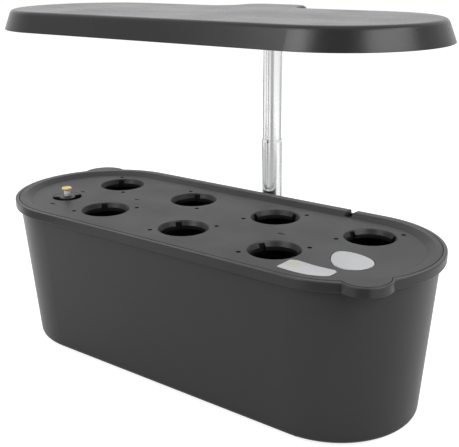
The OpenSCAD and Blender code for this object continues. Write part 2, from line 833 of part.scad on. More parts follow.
// A sector of a disc between two angles, less than half a turn
module sector(r, from, to, h) {
    intersection() {
        cylinder(r = r, h = h);
        rotate([0, 0, from]) translate([-2 * r, 0, -1]) cube([4 * r, 2 * r, h + 2]);
        rotate([0, 0, to - 180]) translate([-2 * r, 0, -1]) cube([4 * r, 2 * r, h + 2]);
    }
}

module float_guide() {
    color([0.3, 0.3, 0.31])
    translate([inlet[0], inlet[1], 0])
        difference() {
            union() {
                translate([0, 0, deck_under]) sector(inlet_r, bridge_from, bridge_to, deck_t);
                translate([0, 0, deck_under - 1.2]) sector(inlet_r + 2, bridge_from, bridge_to, 1.2);
                translate([0, 0, deck_under]) cylinder(r = hub_r, h = deck_t);
                translate([0, 0, deck_z]) cylinder(r1 = stem_r + 1, r2 = stem_r + 0.6, h = stem_z - deck_z);
                translate([0, 0, hub_bottom]) cylinder(r = hub_tube_r, h = hub_h);
            }
            translate([0, 0, hub_bottom - 1]) cylinder(r = pin_r + guide_fit, h = hub_h + deck_t + 3);
        }
}

module float_pin() {
    color([0.92, 0.92, 0.93])
    translate([inlet[0], inlet[1], 0]) {
        translate([0, 0, float_z + 2]) cylinder(r = pin_r, h = stem_z - float_z - 2 + eps, $fn = 48);
        translate([0, 0, stem_z]) cylinder(r = stem_r, h = stem_h, $fn = 48);
        translate([0, 0, cap_z - eps]) cylinder(r = pin_r, h = cap_h / 2, $fn = 48);
    }
}

module float_cap() {
    color([0.98, 0.86, 0.5])
    translate([inlet[0], inlet[1], cap_z])
        difference() {
            union() {
                cylinder(r1 = cap_r - 1.1, r2 = cap_r, h = cap_h * 0.55);
                translate([0, 0, cap_h * 0.55]) cylinder(r = cap_r, h = cap_h * 0.25);
                translate([0, 0, cap_h * 0.8]) cylinder(r1 = cap_r, r2 = cap_r - 0.9, h = cap_h * 0.2);
            }
            translate([0, 0, -1]) cylinder(r = pin_r + 0.02, h = 1 + cap_h / 2, $fn = 48);
        }
}

module float_body() {
    color([0.95, 0.95, 0.93])
    translate([inlet[0], inlet[1], float_z])
        difference() {
            union() {
                cylinder(r1 = float_r - 1, r2 = float_r, h = 1);
                translate([0, 0, 1]) cylinder(r = float_r, h = float_h - 2);
                translate([0, 0, float_h - 1]) cylinder(r1 = float_r, r2 = float_r - 1, h = 1);
            }
            translate([0, 0, 2]) cylinder(r = pin_r + 0.02, h = float_h, $fn = 48);
        }
}

module control_key() {
    color([0.78, 0.79, 0.8])
    translate([key_at[0], key_at[1], 0])
        rotate([0, 0, key_turn]) {
            translate([0, 0, flange_top - flange_h])
                linear_extrude(height = flange_h) polygon(egg(key_flange));
            translate([0, 0, flange_top])
                linear_extrude(height = key_top - key_edge / 2 - flange_top) polygon(egg(0));
            translate([0, 0, key_top - key_edge / 2])
                linear_extrude(height = key_edge / 2) polygon(egg(-key_edge / 2));
        }
}

// Outline of the control housing, grown by d
module case_outline(d) {
    l = case_l + 2 * d;
    w = case_w + 2 * d;
    r = case_corner + d;
    square([l, w - 2 * r], center = true);
    square([l - 2 * r, w], center = true);
    for (x = [-1, 1], y = [-1, 1])
        translate([x * (l / 2 - r), y * (w / 2 - r)]) circle(r);
}

module at_case(z) {
    translate([case_at[0], case_at[1], z]) children();
}

module control_case() {
    color([0.2, 0.2, 0.21])
    at_case(case_z)
        difference() {
            union() {
                difference() {
                    linear_extrude(height = case_h) case_outline(0);
                    translate([0, 0, case_wall]) linear_extrude(height = case_h) case_outline(-case_wall);
                }
                for (p = columns_at)
                    translate([p[0], p[1], 0]) cylinder(r = column_r, h = case_h, $fn = 32);
                for (p = posts_at)
                    translate([p[0], p[1], 0]) cylinder(r = post_r, h = case_wall + post_h, $fn = 32);
            }
            for (p = columns_at)
                translate([p[0], p[1], -1])
                    cylinder(r = case_screw_r + screw_fit, h = case_h + 2, $fn = 32);
            for (p = jacks_at)
                translate([p[0], p[1], -1]) cylinder(r = jack_r + screw_fit, h = case_wall + 2, $fn = 48);
        }
}

module control_gasket() {
    color([0.08, 0.08, 0.08])
    at_case(case_top)
        linear_extrude(height = gasket_t)
            difference() {
                union() {
                    difference() {
                        case_outline(0);
                        case_outline(-case_wall);
                    }
                    for (p = columns_at) translate(p) circle(column_r, $fn = 32);
                }
                for (p = columns_at) translate(p) circle(case_screw_r + screw_fit, $fn = 32);
            }
}

module control_board() {
    color([0.1, 0.35, 0.2])
    at_case(board_z)
        linear_extrude(height = board_t)
            difference() {
                case_outline(-case_wall - board_gap);
                for (p = columns_at) translate(p) circle(column_r + board_gap, $fn = 32);
            }
}

module key_switch() {
    color([0.15, 0.15, 0.16])
    translate([key_at[0], key_at[1], board_z + board_t]) {
        translate([-switch_l / 2, -switch_l / 2, 0]) cube([switch_l, switch_l, switch_h]);
        translate([0, 0, switch_h])
            cylinder(r = plunger_r, h = switch_top - board_z - board_t - switch_h, $fn = 32);
    }
}

module power_jack() {
    color([0.12, 0.12, 0.13])
    at_case(case_z)
        for (p = jacks_at)
            translate([p[0], p[1], 0])
                difference() {
                    union() {
                        translate([0, 0, -jack_h + case_wall + post_h - seat])
                            cylinder(r = jack_r, h = jack_h, $fn = 48);
                        translate([0, 0, -1.4]) cylinder(r = jack_r + 1.5, h = 1.4, $fn = 48);
                    }
                    translate([0, 0, -jack_h + case_wall + post_h - seat - 1])
                        cylinder(r = jack_hole_r, h = jack_h - 1, $fn = 32);
                }
}

module case_screws() {
    color([0.7, 0.7, 0.72])
    at_case(case_z)
        for (p = columns_at)
            translate([p[0], p[1], 0])
                rotate([180, 0, 0]) screw(case_screw_r, case_h + gasket_t + case_grip, 2.4, 1.5);
}

// Puts its children on the pump's axis, with +Z pointing out of its intake end
module at_pump_axis(x = 0) {
    translate([pump_at[0] - pump_l / 2 + x, pump_at[1], shaft_z]) rotate([0, -90, 0]) children();
}

module pump_case() {
    color([0.13, 0.13, 0.14])
    difference() {
        translate([pump_at[0], pump_at[1], pump_z]) round_block(pump_l, pump_w, pump_h, 6);
        at_pump_axis() {
            translate([0, 0, -chamber_l]) cylinder(r = chamber_r, h = chamber_l + 1);
            translate([0, 0, -chamber_l - rotor_l - 2]) cylinder(r = rotor_r + 0.5, h = rotor_l + 3);
            translate([0, 0, -chamber_l - rotor_l - 5]) cylinder(r = shaft_r, h = 4, $fn = 32);
        }
        // pressure port up to the outlet pipe
        translate([pump_at[0] - pump_l / 2 + chamber_l / 2, pump_at[1], shaft_z])
            cylinder(r = nozzle_r - 1.5, h = pump_h, $fn = 48);
    }
}

module pump_cover() {
    color([0.16, 0.16, 0.17])
    difference() {
        union() {
            translate([pump_at[0] - pump_l / 2 - cover_t, pump_at[1], shaft_z])
                rotate([90, 0, 90]) round_block(pump_w, pump_h, cover_t, 5);
            at_pump_axis() translate([0, 0, -2]) cylinder(r = shaft_r + 1.2, h = 2.5, $fn = 32);
        }
        // intake slots, clear of the bearing in the middle
        for (i = [0 : grille_count - 1], s = [-1, 1])
            translate([pump_at[0] - pump_l / 2 - cover_t - 1,
                pump_at[1] + (i - (grille_count - 1) / 2) * 3.4 - grille_w / 2,
                shaft_z + (s > 0 ? 3 : -8)])
                cube([cover_t + 2, grille_w, 5]);
        at_pump_axis() translate([0, 0, -3]) cylinder(r = shaft_r, h = 4, $fn = 32);
    }
}

module pump_shaft() {
    color([0.9, 0.9, 0.88])
    at_pump_axis() translate([0, 0, -chamber_l - rotor_l - 5]) cylinder(r = shaft_r, h = chamber_l + rotor_l + 6, $fn = 32);
}

module pump_impeller() {
    color([0.25, 0.25, 0.27])
    at_pump_axis()
        difference() {
            union() {
                translate([0, 0, -chamber_l - rotor_l]) cylinder(r = rotor_r, h = rotor_l + 1);
                translate([0, 0, -chamber_l + 0.5]) cylinder(r = impeller_r, h = 1.2);
                for (a = [0 : 60 : 300])
                    rotate([0, 0, a])
                        translate([1.5, -0.6, -chamber_l + 1]) cube([impeller_r - 1.7, 1.2, 5]);
                translate([0, 0, -chamber_l]) cylinder(r = 3, h = 6);
            }
            translate([0, 0, -chamber_l - rotor_l - 1])
                cylinder(r = shaft_r + shaft_gap, h = chamber_l + rotor_l + 2, $fn = 48);
        }
}

module pump_nozzle() {
    color([0.13, 0.13, 0.14])
    translate([pump_at[0] - pump_l / 2 + chamber_l / 2, pump_at[1], pump_z + pump_h])
        difference() {
            union() {
                cylinder(r = nozzle_r, h = nozzle_h);
                cylinder(r1 = nozzle_r + 1, r2 = nozzle_r, h = 2);
            }
            translate([0, 0, -1]) cylinder(r = nozzle_r - 1.5, h = nozzle_h + 2, $fn = 48);
        }
}

module suction_cups() {
    color([0.6, 0.62, 0.64])
    for (x = [-1, 1], y = [-1, 1])
        translate([pump_at[0] + x * (pump_l / 2 - 7), pump_at[1] + y * (pump_w / 2 - 6), floor_z]) {
            cylinder(r1 = 5, r2 = 2.4, h = cup_h * 0.6);
            translate([0, 0, cup_h * 0.6]) cylinder(r = 2.4, h = cup_h * 0.4);
        }
}

tank();
rubber_feet();
mast_socket();
socket_screws();
lower_tube();
upper_tube();
tube_glide();
tube_clamp();
clamp_screws();
lamp_housing();
led_panel();
white_leds();
red_leds();
blue_leds();
panel_screws();
lobe_cover();
cover_screws();
deck();
float_guide();
float_pin();
float_cap();
float_body();
control_key();
control_gasket();
control_case();
control_board();
key_switch();
power_jack();
case_screws();
pump_case();
pump_cover();
pump_shaft();
pump_impeller();
pump_nozzle();
suction_cups();
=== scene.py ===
import json
import math

import bmesh
import bpy
from mathutils import Matrix, Vector


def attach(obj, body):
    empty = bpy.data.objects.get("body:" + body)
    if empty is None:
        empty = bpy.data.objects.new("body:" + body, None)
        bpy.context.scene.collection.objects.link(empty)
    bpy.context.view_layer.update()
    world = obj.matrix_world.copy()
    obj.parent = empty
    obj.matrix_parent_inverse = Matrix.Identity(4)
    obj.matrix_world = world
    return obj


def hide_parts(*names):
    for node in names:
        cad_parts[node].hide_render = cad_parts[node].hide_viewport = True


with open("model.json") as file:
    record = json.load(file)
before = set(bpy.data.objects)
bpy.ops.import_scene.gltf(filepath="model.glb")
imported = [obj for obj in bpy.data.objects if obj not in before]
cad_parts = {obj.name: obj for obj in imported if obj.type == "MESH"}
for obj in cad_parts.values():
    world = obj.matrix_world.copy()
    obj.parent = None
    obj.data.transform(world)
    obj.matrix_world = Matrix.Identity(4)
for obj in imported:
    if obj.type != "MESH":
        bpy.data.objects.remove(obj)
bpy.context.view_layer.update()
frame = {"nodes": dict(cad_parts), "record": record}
nodes = frame["nodes"]
mm = 0.001


# Camera, at the place from which the photograph was taken
cameraPlace = {
    "target": (14.419, 0.0, 122.81),
    "distance": 672.183,
    "azimuth": 37.613,
    "elevation": 18.631,
    "roll": -0.731,
    "focalLength": 821.633,  # in pixels of the photograph
    "middle": (223.131, 229.316),
    "frameSize": (459, 447),
    "sensorWidth": 36,
    "clip": (0.01, 50),  # in metres
}


def outwards(azimuth, elevation):
    turn, rise = math.radians(azimuth), math.radians(elevation)
    return Vector((math.sin(turn) * math.cos(rise), -math.cos(turn) * math.cos(rise), math.sin(rise)))


def placeCamera(place):
    azimuth, roll = math.radians(place["azimuth"]), math.radians(place["roll"])
    back = outwards(place["azimuth"], place["elevation"])
    right = Vector((math.cos(azimuth), math.sin(azimuth), 0))
    up = back.cross(right)
    rolledRight = math.cos(roll) * right + math.sin(roll) * up
    rolledUp = math.cos(roll) * up - math.sin(roll) * right
    width, height = place["frameSize"]
    data = bpy.data.cameras.new("photoCamera")
    data.sensor_width = place["sensorWidth"]
    data.lens = place["focalLength"] * data.sensor_width / width
    data.shift_x = (width / 2 - place["middle"][0]) / width
    data.shift_y = (place["middle"][1] - height / 2) / width
    data.clip_start, data.clip_end = place["clip"]
    camera = bpy.data.objects.new("photoCamera", data)
    bpy.context.scene.collection.objects.link(camera)
    stand = Matrix((rolledRight, rolledUp, back)).transposed().to_4x4()
    stand.translation = Vector(place["target"]) * mm + back * place["distance"] * mm
    camera.matrix_world = stand
    bpy.context.scene.camera = camera


placeCamera(cameraPlace)
print("camera placed")


# Steps that the studio, the finishes and the new pieces share

def startFresh():
    if bpy.context.mode != "OBJECT":
        bpy.ops.object.mode_set(mode="OBJECT")
    bpy.ops.object.select_all(action="DESELECT")


def calc(tree, operation, first, second=0.0):
    step = tree.nodes.new("ShaderNodeMath")
    step.operation = operation
    for socket, value in zip(step.inputs, (first, second)):
        if isinstance(value, (int, float)):
            socket.default_value = value
        else:
            tree.links.new(value, socket)
    return step.outputs[0]


def times(tree, first, second):
    return calc(tree, "MULTIPLY", first, second)


def spread(tree, value, low, high, toLow=0.0, toHigh=1.0):
    step = tree.nodes.new("ShaderNodeMapRange")
    for socket, number in (("From Min", low), ("From Max", high), ("To Min", toLow), ("To Max", toHigh)):
        step.inputs[socket].default_value = number
    tree.links.new(value, step.inputs["Value"])
    return step.outputs[0]


def axesOf(tree, place):
    apart = tree.nodes.new("ShaderNodeSeparateXYZ")
    tree.links.new(place, apart.inputs[0])
    return apart.outputs


# Light, floor and background
studio = {
    "worldLight": 0.42,
    "floorSize": 14.0,
    "floorTone": 0.35,
    "floorGlow": 0.87,  # what the floor adds for the camera and in mirrors, so that it shows white
    "nearShade": (0.35, 0.12, 0.75),  # glow's share near the object, and the radii between which it grows
    "aim": (0, 0, 0.15),
    "softboxes": {  # azimuth and elevation in degrees, distance, width and height in metres, watts
        "overheadSoftbox": (20, 86, 1.7, 1.8, 1.3, 24),
        "frontSoftbox": (-18, 39, 1.5, 0.56, 0.45, 7.5),
        "leftSoftbox": (-100, 18, 1.4, 0.8, 0.6, 6),
        "rightSoftbox": (84, 37, 1.5, 1.15, 0.45, 12),
    },
    "softOnly": ("overheadSoftbox", "leftSoftbox"),  # these give light without showing up in mirrors
    "flags": {  # azimuth in degrees, distance, width, lower and upper edge in metres, tone
        "cameraFlag": (33, 0.62, 0.46, 0.0, 1.1, 0.55),
        "lineFlag": (-19, 0.62, 0.23, 0.0, 0.42, 0.0),
        "rearRightFlag": (140, 0.62, 0.26, 0.0, 0.17, 0.5),
        "rearLeftFlag": (-106, 0.62, 0.30, 0.0, 0.17, 0.35),
        "rimFlag": (40, 0.33, 0.26, 0.02, 0.085, 0.0),
        "leftRimFlag": (-60, 0.46, 0.24, 0.02, 0.085, 0.0),
    },
    "bounce": {
        "middle": (0, 1.5, 133.5), "length": 380, "width": 161, "tone": 0.72,
        "around": (0, 92),  # the tube's place, from which the stripes fan out
        "stripes": ((-17, 5, 0.2), (29, 17, 0.8)),  # azimuth and half width in degrees, share of tone left
        "stripeEdge": 2,
    },
}


def aroundObject(azimuth, elevation, distance):
    back = outwards(azimuth, elevation)
    return Vector(studio["aim"]) + back * distance, back


def seenDirectly(tree):
    rays = tree.nodes.new("ShaderNodeLightPath").outputs
    seen = rays["Is Camera Ray"]
    for kind in ("Is Glossy Ray", "Is Transmission Ray"):
        seen = calc(tree, "MAXIMUM", seen, rays[kind])
    return seen


def makeWorld(settings):
    world = bpy.data.worlds.new("studioWorld")
    world.use_nodes = True
    bpy.context.scene.world = world
    tree = world.node_tree
    tree.nodes.clear()
    mix = tree.nodes.new("ShaderNodeMixShader")
    tree.links.new(seenDirectly(tree), mix.inputs[0])
    for socket, strength in ((mix.inputs[1], settings["worldLight"]), (mix.inputs[2], 1.0)):
        plain = tree.nodes.new("ShaderNodeBackground")
        plain.inputs["Color"].default_value = (1, 1, 1, 1)
        plain.inputs["Strength"].default_value = strength
        tree.links.new(plain.outputs[0], socket)
    out = tree.nodes.new("ShaderNodeOutputWorld")
    tree.links.new(mix.outputs[0], out.inputs["Surface"])


def hangSoftboxes(settings):
    for name, (azimuth, elevation, distance, width, height, power) in settings["softboxes"].items():
        data = bpy.data.lights.new(name, "AREA")
        data.shape = "RECTANGLE"
        data.size, data.size_y = width, height
        data.energy = power
        lamp = bpy.data.objects.new(name, data)
        bpy.context.scene.collection.objects.link(lamp)
        lamp.location, back = aroundObject(azimuth, elevation, distance)
        lamp.rotation_euler = (-back).to_track_quat("-Z", "Y").to_euler()
        lamp.visible_camera = False
        lamp.visible_glossy = name not in settings["softOnly"]


def clearPaint(name):
    paint = bpy.data.materials.new(name)
    paint.use_nodes = True
    paint.node_tree.nodes.clear()
    return paint, paint.node_tree


def showSurface(tree, surface):
    out = tree.nodes.new("ShaderNodeOutputMaterial")
    tree.links.new(surface, out.inputs["Surface"])


def layPlane(name, paint, size=1.0):
    startFresh()
    bpy.ops.mesh.primitive_plane_add(size=size)
    plane = bpy.context.active_object
    plane.name = name
    plane.data.materials.append(paint)
    return plane


def showInMirrorsOnly(card):
    for ray in ("camera", "diffuse", "transmission", "volume_scatter", "shadow"):
        setattr(card, "visible_" + ray, False)


# Grey cards that only mirrors see: they draw the darker stripes in the metal and the plastic
def standFlags(settings):
    for name, (azimuth, distance, width, low, high, tone) in settings["flags"].items():
        paint, tree = clearPaint(name + "Paint")
        plain = tree.nodes.new("ShaderNodeEmission")
        plain.inputs["Strength"].default_value = tone
        showSurface(tree, plain.outputs[0])
        flag = layPlane(name, paint)
        flag.scale = (width, high - low, 1)
        place, back = aroundObject(azimuth, 0, distance)
        place.z = (low + high) / 2
        flag.location = place
        flag.rotation_euler = (-back).to_track_quat("Z", "Y").to_euler()
        showInMirrorsOnly(flag)


# White card over the deck that only mirrors above it see: in the photograph the tube's foot doesn't
# mirror the dark deck, and the flags' stripes go on down there
def layBounce(settings):
    paint, tree = clearPaint("bouncePaint")
    geometry = tree.nodes.new("ShaderNodeNewGeometry").outputs
    offset = tree.nodes.new("ShaderNodeVectorMath")
    offset.operation = "SUBTRACT"
    offset.inputs[1].default_value = [c * mm for c in (*settings["around"], 0)]
    tree.links.new(geometry["Position"], offset.inputs[0])
    axes = axesOf(tree, offset.outputs[0])
    angle = calc(tree, "ARCTAN2", axes["X"], times(tree, axes["Y"], -1))
    tone, soft = settings["tone"], settings["stripeEdge"]
    for azimuth, half, share in settings["stripes"]:
        away = calc(tree, "ABSOLUTE", calc(tree, "SUBTRACT", angle, math.radians(azimuth)))
        edge = spread(tree, away, math.radians(half - soft), math.radians(half + soft), share, 1.0)
        tone = times(tree, edge, tone)
    glow = tree.nodes.new("ShaderNodeEmission")
    tree.links.new(tone, glow.inputs["Strength"])
    clear = tree.nodes.new("ShaderNodeBsdfTransparent")
    sided = tree.nodes.new("ShaderNodeMixShader")
    for socket, value in zip(sided.inputs, (geometry["Backfacing"], glow.outputs[0], clear.outputs[0])):
        tree.links.new(value, socket)
    showSurface(tree, sided.outputs[0])
    card = layPlane("bounceCard", paint)
    card.location = [c * mm for c in settings["middle"]]
    card.scale = (settings["length"] * mm, settings["width"] * mm, 1)
    showInMirrorsOnly(card)


# Floor: it looks white, but less so in mirrors close to the object
def layFloor(settings):
    paint, tree = clearPaint("floorPaint")
    share, near, far = settings["nearShade"]
    distance = tree.nodes.new("ShaderNodeVectorMath")
    distance.operation = "LENGTH"
    tree.links.new(tree.nodes.new("ShaderNodeTexCoord").outputs["Object"], distance.inputs[0])
    ring = spread(tree, distance.outputs["Value"], near, far, share, 1.0)
    camera = tree.nodes.new("ShaderNodeLightPath").outputs["Is Camera Ray"]
    strength = times(tree, seenDirectly(tree), settings["floorGlow"])
    glow = tree.nodes.new("ShaderNodeEmission")
    tree.links.new(times(tree, strength, calc(tree, "MAXIMUM", ring, camera)), glow.inputs["Strength"])
    matt = tree.nodes.new("ShaderNodeBsdfDiffuse")
    matt.inputs["Color"].default_value = (*[settings["floorTone"]] * 3, 1)
    both = tree.nodes.new("ShaderNodeAddShader")
    tree.links.new(matt.outputs[0], both.inputs[0])
    tree.links.new(glow.outputs[0], both.inputs[1])
    showSurface(tree, both.outputs[0])
    floor = layPlane("studioFloor", paint, settings["floorSize"])


bpy.context.scene.view_settings.view_transform = "Standard"
makeWorld(studio)
hangSoftboxes(studio)
standFlags(studio)
layBounce(studio["bounce"])
layFloor(studio)
print("studio ready")


# Steps that the finishes share
wideNoise = (0.3, 0.7)  # most of a noise lies between these two
coreNoise = (0.35, 0.65)


def newPaint(name):
    paint = bpy.data.materials.new(name)
    paint.use_nodes = True
    tree = paint.node_tree
    shader = tree.nodes["Principled BSDF"]
    place = tree.nodes.new("ShaderNodeTexCoord").outputs["Object"]
    return paint, tree, shader, place


def scaled(tree, place, size, stretch=(1, 1, 1)):
    mapping = tree.nodes.new("ShaderNodeMapping")
    mapping.inputs["Scale"].default_value = [share / size for share in stretch]
    tree.links.new(place, mapping.inputs["Vector"])
    return mapping.outputs[0]


def noise(tree, place, size, detail=3.0, stretch=(1, 1, 1)):
    texture = tree.nodes.new("ShaderNodeTexNoise")
    texture.inputs["Scale"].default_value = 1
    texture.inputs["Detail"].default_value = detail
    tree.links.new(scaled(tree, place, size, stretch), texture.inputs["Vector"])
    return texture.outputs["Fac"]


def cells(tree, place, size, feature="F1"):
    texture = tree.nodes.new("ShaderNodeTexVoronoi")
    texture.feature = feature
    texture.inputs["Scale"].default_value = 1
    tree.links.new(scaled(tree, place, size), texture.inputs["Vector"])
    return texture.outputs["Distance"]


def blendColours(tree, share, first, second):
    mix = tree.nodes.new("ShaderNodeMix")
    mix.data_type = "RGBA"
    tree.links.new(share, mix.inputs["Factor"])
    for socket, value in ((mix.inputs[6], first), (mix.inputs[7], second)):
        if isinstance(value, tuple):
            socket.default_value = (*value, 1)
        else:
            tree.links.new(value, socket)
    return mix.outputs[2]


def shade(colour, factor):
    return tuple(min(1.0, channel * factor) for channel in colour)


def darkened(tree, share, colour):
    return blendColours(tree, share, (0.0, 0.0, 0.0), colour)


def roughen(tree, shader, value, span, look):
    less, more = look["roughShift"]
    rough = spread(tree, value, *span, look["roughness"] - less, look["roughness"] + more)
    tree.links.new(rough, shader.inputs["Roughness"])


def softEdges(tree, radius):
    bevel = tree.nodes.new("ShaderNodeBevel")
    bevel.samples = 4
    bevel.inputs["Radius"].default_value = radius
    return bevel.outputs["Normal"]


def addBump(tree, shader, height, depth, rounded):
    bump = tree.nodes.new("ShaderNodeBump")
    bump.inputs["Distance"].default_value = depth
    bump.inputs["Strength"].default_value = 1
    tree.links.new(height, bump.inputs["Height"])
    tree.links.new(rounded, bump.inputs["Normal"])
    tree.links.new(bump.outputs[0], shader.inputs["Normal"])


# Moulded plastic: spark-eroded grain, slow clouds in the tone, rubbed edges, a little dust, and painted
# shade in creases and inside the openings. Sizes are in metres, and between the two numbers of a span
# a pattern fades in
plasticWearAndShade = {
    "wearSize": 0.006, "wearTurn": (0.995, 0.86), "wearPolish": 0.12,  # rubbed edges, and how much glossier
    "rubSize": 0.045, "rubStretch": (1, 1, 0.4), "rubSpan": (0.35, 0.7),  # glossier and duller places
    "speckSize": 0.0011, "speckSpan": (0.70, 0.78),  # dust, which lies in patches
    "patchSize": 0.03, "patchSpan": (0.48, 0.7), "dustTone": 2.4,
    "openSpan": (0.25, 0.95),  # share of open surroundings, in a crease and where its shade ends
    "fineSize": 0.6, "fineHeight": 0.8,  # the finer grain, as shares of the grain
}


def edgeWear(tree, rounded, place, wearAndShade):
    flat = tree.nodes.new("ShaderNodeNewGeometry").outputs["Normal"]
    turn = tree.nodes.new("ShaderNodeVectorMath")
    turn.operation = "DOT_PRODUCT"
    tree.links.new(rounded, turn.inputs[0])
    tree.links.new(flat, turn.inputs[1])
    edge = spread(tree, turn.outputs["Value"], *wearAndShade["wearTurn"])
    return times(tree, edge, spread(tree, noise(tree, place, wearAndShade["wearSize"]), *coreNoise))


# Painted shade: ambient occlusion darkens the base colour in creases and hollows, where less light falls
def creaseShade(tree, colour, crease, wearAndShade):
    reach, depth = crease
    hollow = tree.nodes.new("ShaderNodeAmbientOcclusion")
    hollow.samples = 6
    hollow.inputs["Distance"].default_value = reach
    return darkened(tree, spread(tree, hollow.outputs["AO"], *wearAndShade["openSpan"], 1 - depth, 1.0), colour)


# Painted shade: the base colour darkens below the given heights, inside the deck's openings
def sunkShade(tree, place, colour, sunk):
    top, bottom, left = sunk
    return darkened(tree, spread(tree, axesOf(tree, place)["Z"], bottom * mm, top * mm, left, 1.0), colour)


def mouldedPlastic(name, look, wearAndShade):
    paint, tree, shader, place = newPaint(name)
    colour, cloudy = look["colour"], look["cloudShare"]
    clouds = spread(tree, noise(tree, place, look["cloudSize"], 4), *wideNoise)
    toned = blendColours(tree, clouds, shade(colour, 1 - cloudy), shade(colour, 1 + cloudy))
    rounded = softEdges(tree, look["edgeRadius"])
    wear = times(tree, edgeWear(tree, rounded, place, wearAndShade), look["wear"])
    toned = blendColours(tree, wear, toned, shade(colour, look["wearTone"]))
    specks = spread(tree, noise(tree, place, wearAndShade["speckSize"], 1), *wearAndShade["speckSpan"])
    patches = spread(tree, noise(tree, place, wearAndShade["patchSize"], 2), *wearAndShade["patchSpan"])
    dust = times(tree, times(tree, specks, patches), look["dust"])
    toned = blendColours(tree, dust, toned, shade(colour, wearAndShade["dustTone"]))
    if "sunk" in look:
        toned = sunkShade(tree, place, toned, look["sunk"])
    if "crease" in look:
        toned = creaseShade(tree, toned, look["crease"], wearAndShade)
    tree.links.new(toned, shader.inputs["Base Color"])
    grain = cells(tree, place, look["grainSize"], "SMOOTH_F1")
    fine = noise(tree, place, look["grainSize"] * wearAndShade["fineSize"], 2)
    height = calc(tree, "ADD", grain, times(tree, fine, wearAndShade["fineHeight"]))
    rubbed = spread(tree, noise(tree, place, wearAndShade["rubSize"], 3, wearAndShade["rubStretch"]), *wearAndShade["rubSpan"],
                    look["roughness"] - look["roughShift"], look["roughness"] + look["roughShift"])
    rubbed = calc(tree, "ADD", rubbed, times(tree, wear, -wearAndShade["wearPolish"]))
    tree.links.new(rubbed, shader.inputs["Roughness"])
    shader.inputs["Specular IOR Level"].default_value = look["specular"]
    shader.inputs["IOR"].default_value = 1.5
    addBump(tree, shader, height, look["grainDepth"], rounded)
    return paint
